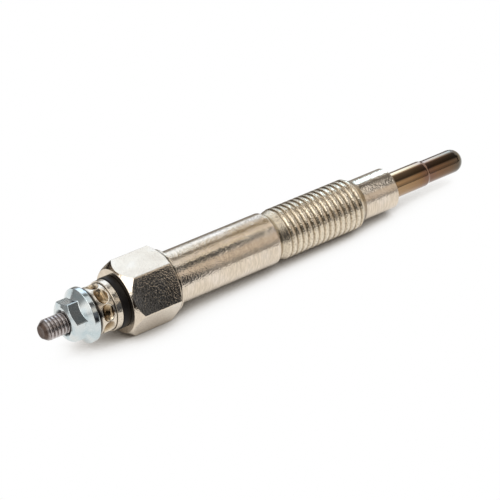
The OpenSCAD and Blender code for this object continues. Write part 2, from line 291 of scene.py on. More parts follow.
def zinc_plated_steel():
    """Bright zinc with a blue passivate: pale and slightly blue-green, with a fine frosted grain."""
    material, tree, shader, place = finish_of("zinc_plated_steel")
    # Frosted plating, 0.12 mm crystals
    frost = add(tree, NOISE, {"Vector": place, "Scale": 1 / (0.12 * MM), "Detail": 3.0})
    drift = add(tree, NOISE, {"Vector": place, "Scale": 1 / (2 * MM), "Detail": 1.0})
    tone = add(tree, RAMP, {0: drift}, stops=[(0.3, "#c9d6d8"), (0.5, "#d9e0e0"), (0.7, "#dfe2df")])
    # Painted shade in the countersink and in the joint with the collar
    station, radius = station_and_radius(tree, place)
    countersink_shade = add(tree, RANGE, {0: radius, 1: (NUT_MOUTH_R - 0.3) * MM, 2: (NUT_MOUTH_R + 0.1) * MM,
                             3: 0.06, 4: 1.0})
    speckle = add(tree, RANGE, {0: frost, 1: 0.35, 2: 0.65, 3: 0.85, 4: 1.0})
    joint = add(tree, RANGE, {0: station, 1: (COLLAR - 0.2) * MM, 2: (COLLAR - 0.05) * MM,
                              3: 1.0, 4: 0.08})
    painted_shade = add(tree, MATH, {0: countersink_shade, 1: joint}, operation="MULTIPLY")
    shade = add(tree, MATH, {0: painted_shade, 1: speckle}, operation="MULTIPLY")
    colour = add(tree, MIX, {0: 1.0, 6: tone, 7: shade}, data_type="RGBA", blend_type="MULTIPLY")
    bump = add(tree, BUMP, {"Height": frost, "Strength": 0.3, "Distance": 0.02 * MM})
    gloss = add(tree, RANGE, {0: frost, 1: 0.3, 2: 0.7, 3: 0.09, 4: 0.17})
    feed(tree, shader, {"Base Color": colour.outputs[2], "Roughness": gloss, "Normal": bump, "Metallic": 1.0})
    return material


def rolled_bare_steel():
    """Plain steel rod with a rolled thread: mid grey with a mauve-brown bloom, dull in the roots and painted
    darker there as shade.
    """
    material, tree, shader, place = finish_of("rolled_bare_steel")
    _, radius = station_and_radius(tree, place)
    depth = add(tree, RANGE, {0: radius, 1: (STUD_R - 0.425) * MM, 2: (STUD_R - 0.025) * MM})
    # Bloom of light rust, patches 0.6 mm across
    bloom = add(tree, NOISE, {"Vector": place, "Scale": 1 / (0.6 * MM), "Detail": 4.0})
    tone = add(tree, RAMP, {0: bloom}, stops=[(0.3, "#a0948f"), (0.5, "#b9b1ae"), (0.7, "#cbc6c4")])
    # Painted shade: the roots are darker than the crests
    roots = add(tree, RAMP, {0: depth}, stops=[(0.0, "#85766d"), (1.0, "#ffffff")])
    colour = add(tree, MIX, {0: 1.0, 6: tone, 7: roots}, data_type="RGBA", blend_type="MULTIPLY")
    bump = add(tree, BUMP, {"Height": bloom, "Strength": 0.3, "Distance": 0.03 * MM})
    gloss = add(tree, RANGE, {0: depth, 3: 0.45, 4: 0.28})
    feed(tree, shader, {"Base Color": colour.outputs[2], "Roughness": gloss, "Normal": bump, "Metallic": 1.0})
    return material


def heat_tinted_alloy():
    """Nickel-chrome tube that has been run hot: straw and bronze near the nose, purple-brown at the swaged
    step, brown on the thin part and grey-green at the tip, with draw lines and a glassy oxide film."""
    material, tree, shader, place = finish_of("heat_tinted_alloy")
    axes = add(tree, "ShaderNodeSeparateXYZ", {0: place})
    # The tint wanders by about half a millimetre either way round the tube
    wander = add(tree, NOISE, {"Vector": place, "Scale": 1 / (2.5 * MM), "Detail": 3.0})
    shift = add(tree, RANGE, {0: wander, 3: -1.2 * MM, 4: 1.2 * MM})
    along = add(tree, MATH, {0: axes.outputs["X"], 1: shift}, operation="ADD")
    heat = add(tree, RANGE, {0: along, 1: NOSE_END * MM, 2: TIP * MM})
    tint = add(tree, RAMP, {0: heat},
               stops=[(0.0, "#a9885f"), (0.2, "#a07d53"), (0.38, "#8a6338"), (0.45, "#7b543a"),
                      (0.5, "#765038"), (0.6, "#79522d"), (0.78, "#664722"), (0.88, "#594832"),
                      (0.96, "#615e50")])
    # Draw lines along the tube, seven to the millimetre and about 5 mm long
    stretched = add(tree, "ShaderNodeMapping", {"Vector": place, "Scale": (1 / (5 * MM), 7 / MM, 7 / MM)})
    lines = add(tree, NOISE, {"Vector": stretched, "Scale": 1.0, "Detail": 2.0})
    streaks = add(tree, RANGE, {0: lines, 1: 0.35, 2: 0.65, 3: 0.82, 4: 1.0})
    colour = add(tree, MIX, {0: 1.0, 6: tint, 7: streaks}, data_type="RGBA", blend_type="MULTIPLY")
    bump = add(tree, BUMP, {"Height": lines, "Strength": 0.2, "Distance": 0.02 * MM})
    gloss = add(tree, RANGE, {0: heat, 1: 0.3, 3: 0.08, 4: 0.17})
    feed(tree, shader, {"Base Color": colour.outputs[2], "Roughness": gloss, "Normal": bump,
                        "Coat Weight": 0.5, "Coat IOR": 1.8, "Coat Roughness": 0.1, "Metallic": 1.0})
    return material


def black_phenolic_moulding():
    """Pressed phenolic: satin black with a faint brown cast and a fine moulded tooth."""
    material, tree, shader, place = finish_of("black_phenolic_moulding")
    # Filler in the moulding, 0.1 mm flecks
    fleck = add(tree, NOISE, {"Vector": place, "Scale": 1 / (0.1 * MM), "Detail": 2.0})
    tone = add(tree, RAMP, {0: fleck}, stops=[(0.35, "#0b0908"), (0.6, "#130f0d"), (0.75, "#1f1917")])
    bump = add(tree, BUMP, {"Height": fleck, "Strength": 0.3, "Distance": 0.02 * MM})
    gloss = add(tree, RANGE, {0: fleck, 1: 0.3, 2: 0.7, 3: 0.34, 4: 0.5})
    feed(tree, shader, {"Base Color": tone, "Roughness": gloss, "Normal": bump, "IOR": 1.6,
                        "Specular IOR Level": 0.15})
    return material


def drawn_resistance_wire():
    """Drawn nickel-chrome wire: dull grey with patches of brown oxide."""
    material, tree, shader, place = finish_of("drawn_resistance_wire")
    oxide = add(tree, NOISE, {"Vector": place, "Scale": 1 / (0.4 * MM), "Detail": 3.0})
    tone = add(tree, RAMP, {0: oxide}, stops=[(0.3, "#77706a"), (0.7, "#9c9791")])
    gloss = add(tree, RANGE, {0: oxide, 3: 0.3, 4: 0.5})
    feed(tree, shader, {"Base Color": tone, "Roughness": gloss, "Metallic": 1.0})
    return material


def compacted_magnesia():
    """Magnesium oxide powder swaged hard: chalky white with a fine grit."""
    material, tree, shader, place = finish_of("compacted_magnesia")
    grit = add(tree, NOISE, {"Vector": place, "Scale": 1 / (0.2 * MM), "Detail": 4.0})
    tone = add(tree, RAMP, {0: grit}, stops=[(0.3, "#dcd8cf"), (0.7, "#efece6")])
    bump = add(tree, BUMP, {"Height": grit, "Strength": 0.4, "Distance": 0.05 * MM})
    feed(tree, shader, {"Base Color": tone, "Normal": bump, "Roughness": 0.9})
    return material


def moulded_seal_rubber(name, dark, light):
    """Moulded rubber: matt, close to one colour, with a faint bloom."""
    material, tree, shader, place = finish_of(name)
    bloom = add(tree, NOISE, {"Vector": place, "Scale": 1 / (0.5 * MM), "Detail": 3.0})
    tone = add(tree, RAMP, {0: bloom}, stops=[(0.3, dark), (0.7, light)])
    gloss = add(tree, RANGE, {0: bloom, 3: 0.55, 4: 0.75})
    feed(tree, shader, {"Base Color": tone, "Roughness": gloss})
    return material


def round_columns(turn=0.0, count=COLUMNS, bunch=0.0):
    """Angles of a turned piece's columns, from +Y toward +Z. They can bunch up at a hexagon's corners."""
    even = np.arange(count) * 2 * math.pi / count
    return even - bunch / 6 * np.sin(6 * even) + turn


def hexagon_radius(angles, across_flats, corner, turn=0.0):
    """Distance from the axis to the side of a hexagon with rounded corners."""
    flat = across_flats / 2
    off = np.abs((angles - turn) % (math.pi / 3) - math.pi / 6)
    inner = flat - corner
    side = inner * math.tan(math.pi / 6)
    along = np.cos(off) * inner + np.sin(off) * side
    on_corner = along + np.sqrt(np.maximum(along ** 2 - inner ** 2 - side ** 2 + corner ** 2, 0))
    return np.where(flat * np.tan(off) <= side, flat / np.cos(off), on_corner)


def rounded_profile(points, count, closed, steps=4, hold=0.03):
    """Rows of a profile whose corners, given as x, radius and rounding, become small arcs. An arc takes up to
    0.45 of the shorter side, and a row close to each end of a side keeps the shading of flat sides flat."""
    corners = [np.array([np.broadcast_to(x, count), np.broadcast_to(r, count)], float) for x, r, _ in points]
    arcs = []
    for i, (here, (_, _, rounding)) in enumerate(zip(corners, points)):
        if rounding == 0 or (not closed and i in (0, len(corners) - 1)):
            arcs.append([here])
            continue
        to_last, to_next = corners[i - 1] - here, corners[(i + 1) % len(corners)] - here
        length_last, length_next = np.linalg.norm(to_last, axis=0), np.linalg.norm(to_next, axis=0)
        to_last, to_next = to_last / length_last, to_next / length_next
        half = np.arccos(np.clip((to_last * to_next).sum(axis=0), -1, 1)) / 2
        reach = np.minimum(rounding / np.tan(half), 0.45 * np.minimum(length_last, length_next))
        first, last = here + to_last * reach, here + to_next * reach
        arcs.append([(1 - t) ** 2 * first + 2 * t * (1 - t) * here + t ** 2 * last
                     for t in np.linspace(0, 1, steps + 1)])
    rows = []
    for i, arc in enumerate(arcs):
        rows += arc
        if i + 1 < len(arcs) or closed:
            start, end = arc[-1], arcs[(i + 1) % len(arcs)][0]
            share = np.minimum(hold / np.maximum(np.linalg.norm(end - start, axis=0), 1e-9), 0.25)
            rows += [start + (end - start) * share, end - (end - start) * share]
    return rows


def add_skin(shape, points, angles, closed=False):
    """Adds faces to a bmesh that take a profile round the axis."""
    grid = []
    for x, r in rounded_profile(points, len(angles), closed):
        ring = np.stack([x, r * np.cos(angles), r * np.sin(angles)], axis=1) * MM
        grid.append([shape.verts.new(p) for p in ring])
    pairs = list(zip(grid, grid[1:])) + ([(grid[-1], grid[0])] if closed else [])
    for low, high in pairs:
        for j in range(len(angles)):
            k = (j + 1) % len(angles)
            shape.faces.new((low[j], low[k], high[k], high[j]))


def with_end(band, points, angles):
    """A patterned band with a turned end added to it."""
    shape = bmesh.new()
    shape.from_mesh(band)
    add_skin(shape, points, angles)
    shape.to_mesh(band)
    shape.free()
    return band


def turned_piece(name, points, angles, finish, closed=False, insert=None):
    """A piece turned about the axis, joined to a patterned band where it has one."""
    shape = bmesh.new()
    add_skin(shape, points, angles, closed)
    if insert:
        shape.from_mesh(insert)
        bpy.data.meshes.remove(insert)
    bmesh.ops.remove_doubles(shape, verts=shape.verts, dist=1e-6)
    bmesh.ops.dissolve_degenerate(shape, edges=shape.edges, dist=1e-7)
    bmesh.ops.recalc_face_normals(shape, faces=shape.faces)
    mesh = bpy.data.meshes.new(name)
    shape.to_mesh(mesh)
    open_edges = sum(1 for e in shape.edges if not e.is_manifold)
    volume = shape.calc_volume(signed=True)
    shape.free()
    print(f"{name}: {len(mesh.polygons)} faces, {open_edges} open edges, {volume / MM ** 3:.1f} mm3")
    mesh.materials.append(finish)
    mesh.polygons.foreach_set("use_smooth", [True] * len(mesh.polygons))
    mesh.set_sharp_from_angle(angle=math.radians(65))
    piece = bpy.data.objects.new(name, mesh)
    bpy.context.scene.collection.objects.link(piece)
    return piece


def new_tree(name, sizes):
    """A Geometry Nodes tree with a named input for each size."""
    tree = bpy.data.node_groups.new(name, "GeometryNodeTree")
    tree.is_modifier = True
    tree.interface.new_socket("Geometry", in_out="OUTPUT", socket_type="NodeSocketGeometry")
    kinds = {"Turns": "Int", "Columns": "Int", "Rows": "Int", "Stakes": "Int", "Finish": "Material"}
    for size in sizes:
        kind = kinds.get(size, "Float")
        tree.interface.new_socket(size, in_out="INPUT", socket_type="NodeSocket" + kind)
    return tree, add(tree, "NodeGroupInput").outputs


def mesh_from(tree, values):
    """Runs a tree with its sizes and returns the plain mesh."""
    carrier = bpy.data.objects.new(tree.name, bpy.data.meshes.new(tree.name))
    bpy.context.scene.collection.objects.link(carrier)
    modifier = carrier.modifiers.new(tree.name, "NODES")
    modifier.node_group = tree
    for socket in tree.interface.items_tree:
        if socket.in_out == "INPUT":
            modifier[socket.identifier] = values[socket.name]
    graph = bpy.context.evaluated_depsgraph_get()
    mesh = bpy.data.meshes.new_from_object(carrier.evaluated_get(graph), depsgraph=graph)
    carrier.modifiers.remove(modifier)
    blank = carrier.data
    bpy.data.objects.remove(carrier)
    bpy.data.meshes.remove(blank)
    return mesh


def unit_sheet(tree, columns, rows):
    """A flat unit sheet, with each point's share of the way round and its place along from the middle."""
    around = add(tree, MATH, {0: columns, 1: 1.0}, operation="ADD")
    lines = add(tree, MATH, {0: rows, 1: 1.0}, operation="ADD")
    sheet = add(tree, "GeometryNodeMeshGrid", {"Size X": 1.0, "Size Y": 1.0, "Vertices X": around,
                                               "Vertices Y": lines})
    spot = add(tree, "ShaderNodeSeparateXYZ", {0: add(tree, "GeometryNodeInputPosition")})
    part_round = add(tree, MATH, {0: spot.outputs["X"], 1: 0.5}, operation="ADD")
    return sheet, part_round, spot.outputs["Y"]


def wrap_round(tree, size, sheet, station, radius, angle):
    """Ends a tree: wraps its sheet round the axis, closes the seam and gives it its material."""
    cosine = add(tree, MATH, {0: angle}, operation="COSINE")
    sine = add(tree, MATH, {0: angle}, operation="SINE")
    across = add(tree, MATH, {0: radius, 1: cosine}, operation="MULTIPLY")
    above = add(tree, MATH, {0: radius, 1: sine}, operation="MULTIPLY")
    point = add(tree, "ShaderNodeCombineXYZ", {0: station, 1: across, 2: above})
    metres = add(tree, "ShaderNodeVectorMath", {0: point, "Scale": MM}, operation="SCALE")
    wrapped = add(tree, "GeometryNodeSetPosition", {"Geometry": sheet, "Position": metres})
    welded = add(tree, "GeometryNodeMergeByDistance", {"Geometry": wrapped, "Distance": 1e-7})
    real = add(tree, "GeometryNodeRealizeInstances", {"Geometry": welded})
    finished = add(tree, "GeometryNodeSetMaterial", {"Geometry": real, "Material": size["Finish"]})
    add(tree, "NodeGroupOutput", {0: finished})


def rolled_thread_tree():
    """A right-hand rolled thread with broad flat crests and narrow roots, as a band of mesh whose rows follow
    the helix, with a plain ring at each end. Sizes are in millimetres."""
    rows_per_pitch = 20
    # Shares of the pitch, from the middle of the root to the foot and to the top of the thread's side
    side_foot, side_top = 0.05, 0.285
    tree, size = new_tree("rolled_thread", [
        "Crest diameter", "Pitch", "Depth", "Start", "Start radius", "Start slope", "Run-in", "End",
        "End radius", "End slope", "Turns", "Columns", "Bunch", "Phase", "Finish"])
    rows = add(tree, MATH, {0: size["Turns"], 1: rows_per_pitch}, operation="MULTIPLY")
    sheet, part_round, along = unit_sheet(tree, size["Columns"], rows)
    part_along = add(tree, MATH, {0: along, 1: 0.5}, operation="ADD")
    # Angle of the column, bunched at the hexagon's corners as the rest of the piece is
    even = add(tree, MATH, {0: part_round, 1: 2 * math.pi}, operation="MULTIPLY")
    six_times = add(tree, MATH, {0: even, 1: 6.0}, operation="MULTIPLY")
    swing = add(tree, MATH, {0: six_times}, operation="SINE")
    share = add(tree, MATH, {0: size["Bunch"], 1: -6.0}, operation="DIVIDE")
    angle = add(tree, MATH, {0: swing, 1: share, 2: even}, operation="MULTIPLY_ADD")
    turn = add(tree, MATH, {0: angle, 1: 2 * math.pi}, operation="DIVIDE")
    # Station of the row, which climbs one pitch in each turn and stops at the two ends
    count = add(tree, MATH, {0: part_along, 1: size["Turns"]}, operation="MULTIPLY")
    climbed = add(tree, MATH, {0: count, 1: turn}, operation="ADD")
    behind = add(tree, MATH, {0: climbed, 1: 1.0}, operation="SUBTRACT")
    raw = add(tree, MATH, {0: behind, 1: size["Pitch"], 2: size["Start"]}, operation="MULTIPLY_ADD")
    station = add(tree, "ShaderNodeClamp", {0: raw, 1: size["Start"], 2: size["End"]})
    # Depth of the thread's side: none at the crest, full at the root
    phase = add(tree, MATH, {0: count, 1: size["Phase"]}, operation="ADD")
    wave = add(tree, MATH, {0: phase}, operation="FRACT")
    middle = add(tree, MATH, {0: wave, 1: 0.5}, operation="SUBTRACT")
    from_root = add(tree, MATH, {0: middle}, operation="ABSOLUTE")
    lift = add(tree, RANGE, {0: from_root, 1: side_foot, 2: side_top, 3: 1.0, 4: 0.0})
    gone = add(tree, MATH, {0: station, 1: size["Start"]}, operation="SUBTRACT")
    grown = add(tree, MATH, {0: gone, 1: size["Run-in"]}, operation="DIVIDE", use_clamp=True)
    depth = add(tree, MATH, {0: size["Depth"], 1: grown}, operation="MULTIPLY")
    cut = add(tree, MATH, {0: depth, 1: lift}, operation="MULTIPLY")
    crest = add(tree, MATH, {0: size["Crest diameter"], 1: 0.5}, operation="MULTIPLY")
    side = add(tree, MATH, {0: crest, 1: cut}, operation="SUBTRACT")
    # Cones at the two ends cut across the thread
    start_cone = add(tree, MATH, {0: gone, 1: size["Start slope"], 2: size["Start radius"]},
                     operation="MULTIPLY_ADD")
    left = add(tree, MATH, {0: size["End"], 1: station}, operation="SUBTRACT")
    end_cone = add(tree, MATH, {0: left, 1: size["End slope"], 2: size["End radius"]},
                   operation="MULTIPLY_ADD")
    cones = add(tree, MATH, {0: start_cone, 1: end_cone}, operation="MINIMUM")
    radius = add(tree, MATH, {0: side, 1: cones}, operation="MINIMUM")
    wrap_round(tree, size, sheet, station, radius, angle)
    return tree


def other_leg(tree, slant, leg):
    """The third side of a right triangle, or nothing where the leg is longer than the slant."""
    slant_square = add(tree, MATH, {0: slant, 1: slant}, operation="MULTIPLY")
    leg_square = add(tree, MATH, {0: leg, 1: leg}, operation="MULTIPLY")
    rest = add(tree, MATH, {0: slant_square, 1: leg_square}, operation="SUBTRACT")
    safe = add(tree, MATH, {0: rest, 1: 0.0}, operation="MAXIMUM")
    return add(tree, MATH, {0: safe}, operation="SQRT")


def staked_sleeve_tree():
    """A sleeve with a ring of marks from a round-nosed punch, as a band of mesh with a plain ring at each
    end. Sizes are in millimetres."""
    # How fast the punch rises beyond the width of its mark
    lift_slope = 4.0
    tree, size = new_tree("staked_sleeve", [
        "Sleeve diameter", "Start", "End", "Stakes", "Stake width", "Stake depth", "Punch radius",
        "Stake angle", "Burr", "Columns", "Rows", "Finish"])
    sheet, part_round, along = unit_sheet(tree, size["Columns"], size["Rows"])
    angle = add(tree, MATH, {0: part_round, 1: 2 * math.pi}, operation="MULTIPLY")
    length = add(tree, MATH, {0: size["End"], 1: size["Start"]}, operation="SUBTRACT")
    offset = add(tree, MATH, {0: along, 1: length}, operation="MULTIPLY")
    ends = add(tree, MATH, {0: size["Start"], 1: size["End"]}, operation="ADD")
    centre = add(tree, MATH, {0: ends, 1: 0.5}, operation="MULTIPLY")
    station = add(tree, MATH, {0: centre, 1: offset}, operation="ADD")
    # Angle from the nearest mark's middle
    from_first = add(tree, MATH, {0: angle, 1: size["Stake angle"]}, operation="SUBTRACT")
    share = add(tree, MATH, {0: from_first, 1: size["Stakes"]}, operation="MULTIPLY")
    sectors = add(tree, MATH, {0: share, 1: 2 * math.pi}, operation="DIVIDE")
    centred = add(tree, MATH, {0: sectors, 1: 0.5}, operation="ADD")
    whole = add(tree, MATH, {0: centred}, operation="FRACT")
    part = add(tree, MATH, {0: whole, 1: 0.5}, operation="SUBTRACT")
    part_turn = add(tree, MATH, {0: part, 1: size["Stakes"]}, operation="DIVIDE")
    off = add(tree, MATH, {0: part_turn, 1: 2 * math.pi}, operation="MULTIPLY")
    # Radius of the punch's wheel at this station
    half = add(tree, MATH, {0: size["Stake width"], 1: 0.5}, operation="MULTIPLY")
    nose = other_leg(tree, half, offset)
    core = add(tree, MATH, {0: size["Punch radius"], 1: half}, operation="SUBTRACT")
    wheel = add(tree, MATH, {0: core, 1: nose}, operation="ADD")
    # Distance from the axis to the punch along this column
    sleeve = add(tree, MATH, {0: size["Sleeve diameter"], 1: 0.5}, operation="MULTIPLY")
    reach = add(tree, MATH, {0: sleeve, 1: size["Punch radius"]}, operation="ADD")
    away = add(tree, MATH, {0: reach, 1: size["Stake depth"]}, operation="SUBTRACT")
    off_sine = add(tree, MATH, {0: off}, operation="SINE")
    off_cosine = add(tree, MATH, {0: off}, operation="COSINE")
    beside = add(tree, MATH, {0: away, 1: off_sine}, operation="MULTIPLY")
    ahead = add(tree, MATH, {0: away, 1: off_cosine}, operation="MULTIPLY")
    chord = other_leg(tree, wheel, beside)
    punched = add(tree, MATH, {0: ahead, 1: chord}, operation="SUBTRACT")
    # Beyond the mark's width the punch is lifted clear, so the two end rings stay round
    far = add(tree, MATH, {0: offset}, operation="ABSOLUTE")
    outside = add(tree, MATH, {0: far, 1: half}, operation="SUBTRACT")
    outside_safe = add(tree, MATH, {0: outside, 1: 0.0}, operation="MAXIMUM")
    lifted = add(tree, MATH, {0: outside_safe, 1: lift_slope, 2: punched}, operation="MULTIPLY_ADD")
    radius = add(tree, MATH, {0: sleeve, 1: lifted, 2: size["Burr"]}, operation="SMOOTH_MIN")
    wrap_round(tree, size, sheet, station, radius, angle)
    return tree


def make_camera():
    """A long lens above the terminal end, solved from the plug's own edges in the photograph."""
    target = Vector((-0.0229, 0.0, -0.001112))
    turn, rise, roll = math.radians(-36.971), math.radians(34.186), math.radians(0.206)
    away = 0.472633
    sensor_width, picture_width = 36.0, 500
    focal_pixels = 2569.66
    back = Vector((math.sin(turn) * math.cos(rise), -math.cos(turn) * math.cos(rise), math.sin(rise)))
    data = bpy.data.cameras.new("camera")
    data.sensor_width = sensor_width
    data.lens = sensor_width * focal_pixels / picture_width
    data.clip_start, data.clip_end = 0.01, 10.0
    camera = bpy.data.objects.new("camera", data)
    level = (-back).to_track_quat("-Z", "Y").to_matrix()
    rolled = level @ Matrix.Rotation(roll, 3, "Z")
    camera.matrix_world = Matrix.Translation(target + back * away) @ rolled.to_4x4()
    bpy.context.scene.collection.objects.link(camera)
    bpy.context.scene.camera = camera


def put_on_stage(name, mesh, finish, mirrored=True):
    """Adds a mesh to the scene with a new material. A mirrored one shows only in the plug's reflections."""
    piece = bpy.data.objects.new(name, mesh)
    bpy.context.scene.collection.objects.link(piece)
    if mirrored:
        piece.visible_camera = piece.visible_diffuse = piece.visible_shadow = False
        piece.visible_transmission = piece.visible_volume_scatter = False
    material, tree, _, place = finish_of(finish)
    mesh.materials.append(material)
    return tree, place


def light_up(tree, colour, strength=1.0):
    """Makes a stage material give off its own light."""
    glow = add(tree, "ShaderNodeEmission", {"Color": colour, "Strength": strength})
    feed(tree, tree.nodes["Material Output"], {"Surface": glow})


def make_floor():
    """White table that the plug rests on by its hexagon and the front of its thread, tipped 1.8 degrees.
    The plug's soft shadow is dark where they touch and gone within some millimetres."""
    slope = (HEX_FLATS / 2 - THREAD_R) / REST_SPAN
    half = 0.6
    corners = [(x, y, slope * x - THREAD_R * MM)
               for x, y in ((-half, -half), (half, -half), (half, half), (-half, half))]
    mesh = bpy.data.meshes.new("table")
    mesh.from_pydata(corners, [], [(0, 1, 2, 3)])
    tree, _ = put_on_stage("table", mesh, "white_table", mirrored=False)
    open_sky = add(tree, "ShaderNodeAmbientOcclusion", {"Distance": 60 * MM}, samples=16)
    shade = add(tree, RAMP, {0: open_sky.outputs["AO"]},
                stops=[(0.08, "#2b2620"), (0.18, "#554d44"), (0.258, "#8d877f"), (0.323, "#bbb7b1"),
                       (0.395, "#dfdcd9"), (0.47, "#f6f5f4"), (0.56, "#fbfbfa"), (0.64, "#ffffff")])
    light_up(tree, shade)


def studio_card(name, corners, colour, mottle=None, patch=18, strength=1.0):
    """A card beside the plug, in one colour or mottled with a second in patches. Sizes are in millimetres."""
    mesh = bpy.data.meshes.new(name)
    mesh.from_pydata([tuple(v * MM for v in corner) for corner in corners], [], [(0, 1, 2, 3)])
    tree, place = put_on_stage(name, mesh, name)
    patches = add(tree, NOISE, {"Vector": place, "Scale": 1 / (patch * MM), "Detail": 0.0})
    tone = add(tree, RAMP, {0: patches}, stops=[(0.42, colour), (0.58, mottle or colour)])
    light_up(tree, tone, strength)


def make_tent():
    """A light tent round the plug, with a bright strip low behind and grey gaps between its panels."""
    shape = bmesh.new()
    bmesh.ops.create_icosphere(shape, subdivisions=4, radius=2.0)
    mesh = bpy.data.meshes.new("light_tent")
    shape.to_mesh(mesh)
    shape.free()
    tree, place = put_on_stage("light_tent", mesh, "light_tent")
    aim = add(tree, "ShaderNodeVectorMath", {0: place}, operation="NORMALIZE")
    axes = add(tree, "ShaderNodeSeparateXYZ", {0: aim})
    # Swing about the plug's axis: 0 is level in front, 90 overhead and 180 level behind
    front = add(tree, MATH, {0: axes.outputs["Y"], 1: -1.0}, operation="MULTIPLY")
    swing = add(tree, MATH, {0: axes.outputs["Z"], 1: front}, operation="ARCTAN2")
    share = add(tree, RANGE, {0: swing, 1: -math.pi, 2: math.pi})
    level = [(-180, 0.17), (-3, 0.17), (5, 0.2), (20, "#a29b94"), (35, "#b6afa7"), (46, "#aba49c"),
             (53, 0.2), (58, 0.07), (66, 0.05), (75, 0.07), (92, 0.1), (110, 0.14),
             (118, 0.2), (123, 0.5), (129, "#e1eeff"), (164, "#e1eeff"), (172, 0.28), (180, 0.05)]
    panels = add(tree, RAMP, {0: share}, stops=[((a + 180) / 360, v) for a, v in level])
    # The terminal's side of the tent is white above a grey horizon, with a low gap toward the back
    rise = add(tree, RANGE, {0: axes.outputs["Z"], 1: 0.0, 2: 0.1, 3: 0.3, 4: 0.66})
    behind = add(tree, RANGE, {0: axes.outputs["Y"], 1: 0.12, 2: 0.42, 3: 0.0, 4: 0.72},
                 interpolation_type="SMOOTHSTEP")
    low = add(tree, RANGE, {0: axes.outputs["Z"], 1: 0.38, 2: 0.62, 3: 1.0, 4: 0.0},
              interpolation_type="SMOOTHSTEP")
    gap = add(tree, MATH, {0: behind, 1: low}, operation="MULTIPLY")
    front_gap = add(tree, RANGE, {0: axes.outputs["Y"], 1: -0.5, 2: -0.68, 3: 1.0, 4: 0.1},
                    interpolation_type="SMOOTHSTEP")
    panel = add(tree, MATH, {0: front_gap, 1: gap}, operation="SUBTRACT", use_clamp=True)
    terminal_side = add(tree, MATH, {0: rise, 1: panel}, operation="MULTIPLY")
    # The tip's side is dark in front and brighter behind
    tip_side = add(tree, RANGE, {0: axes.outputs["Y"], 1: -0.2, 2: 0.1, 3: 0.02, 4: 0.5},
                   interpolation_type="SMOOTHSTEP")
    ahead = add(tree, RANGE, {0: axes.outputs["X"], 1: 0.66, 2: 0.82}, interpolation_type="SMOOTHSTEP")
    middle = add(tree, MIX, {0: ahead, 6: panels, 7: tip_side}, data_type="RGBA")
    side = add(tree, RANGE, {0: axes.outputs["X"], 1: 0.2, 2: -0.1}, interpolation_type="SMOOTHSTEP")
    lining = add(tree, MIX, {0: side, 6: middle.outputs[2], 7: terminal_side}, data_type="RGBA")
    light_up(tree, lining.outputs[2], 1.75)


def make_light():
    """A white surround with a soft lamp overhead, and pale, brown and dark cards round the plug."""
    world = bpy.data.worlds.new("studio")
    world.use_nodes = True
    bpy.context.scene.world = world
    tree = world.node_tree
    path = add(tree, "ShaderNodeLightPath")
    looked_at = add(tree, MATH, {0: path.outputs["Is Camera Ray"], 1: path.outputs["Is Glossy Ray"]},
                    operation="MAXIMUM")
    shown = add(tree, MATH, {0: looked_at, 1: path.outputs["Is Transmission Ray"]}, operation="MAXIMUM")
    colour = add(tree, MIX, {0: shown, 6: linear("#a8a8a8"), 7: linear("#ffffff")}, data_type="RGBA")
    feed(tree, tree.nodes["Background"], {"Color": colour.outputs[2]})

    studio_card("white_card", [(-220, -30, 100), (13, -30, 100), (18, 22, 100), (-220, 22, 100)], "#ffffff")
    studio_card("warm_card", [(13, -30, 100), (35, -30, 100), (69, 135, 100), (47, 135, 100)],
                "#8d7b58", mottle="#fff6e6")
    studio_card("dark_card", [(-62, -40, -7), (-18, -40, -7), (-18, -40, 26), (-62, -40, 26)],
                "#151618", mottle="#63666c", patch=9)
    studio_card("horizon_card", [(-150, -100, -9.6), (56, -100, -3.1), (56, -100, 5), (-150, -100, 3)],
                "#8a827a")
    studio_card("thread_card", [(41, -100, 20), (53, -100, 20), (79, -100, 112), (68, -100, 112)], "#a89a89")
    studio_card("crest_card", [(40, 4, 98), (55, 4, 98), (71, -84, 98), (58, -84, 98)],
                "#ffffff", strength=2.1)
    studio_card("brown_card", [(40, 12, 98), (57, 12, 98), (96, 140, 98), (79, 140, 98)], "#5d4a33")
    studio_card("slot_card", [(-75, -58, -7.2), (-75, -19, -7.2), (-75, -22, 21), (-75, -58, 24)], "#1d1712")
    # A brown card on the terminal side, seen only in the plug's reflections
    studio_card("brown_terminal_card", [(-75, 16, 34), (-75, 140, 28), (-75, 140, 64), (-75, 24, 62)], "#66553e")
    studio_card("gleam_card", [(-75, -23, 21.5), (-75, 15, 38), (-75, 23, 60), (-75, -30, 34)],
                "#ffffff", strength=3.3)
    studio_card("brown_wall", [(74, 148, 40), (97, 148, 40), (112, 148, 98), (83, 148, 98)], "#5d4a33")
    studio_card("tip_card", [(99, 150, 50), (139, 150, 50), (176, 150, 170), (136, 150, 170)],
                "#c6e4fa", strength=4.8)
    studio_card("step_card", [(60, -20, -6), (60, 30, -6), (60, 30, 16), (60, -20, 16)], "#efe4d2")
    studio_card("black_card", [(-80, 150, -20), (-30, 150, -20), (-30, 150, 60), (-80, 150, 60)], "#201c18")
    studio_card("back_card", [(-50, 10, -6.2), (90, 10, -1.8), (90, 200, -1.8), (-50, 200, -6.2)], "#8a857d")

    lamp = bpy.data.lights.new("overhead", "AREA")
    lamp.shape = "RECTANGLE"
    lamp.size = lamp.size_y = 0.8
    lamp.energy = 6.0
    overhead = bpy.data.objects.new("overhead", lamp)
    overhead.location = (-0.02, 0.1, 0.6)
    overhead.rotation_euler = Vector((0.0, -0.1, -0.6)).to_track_quat("-Z", "Y").to_euler()
    overhead.visible_glossy = False
    bpy.context.scene.collection.objects.link(overhead)


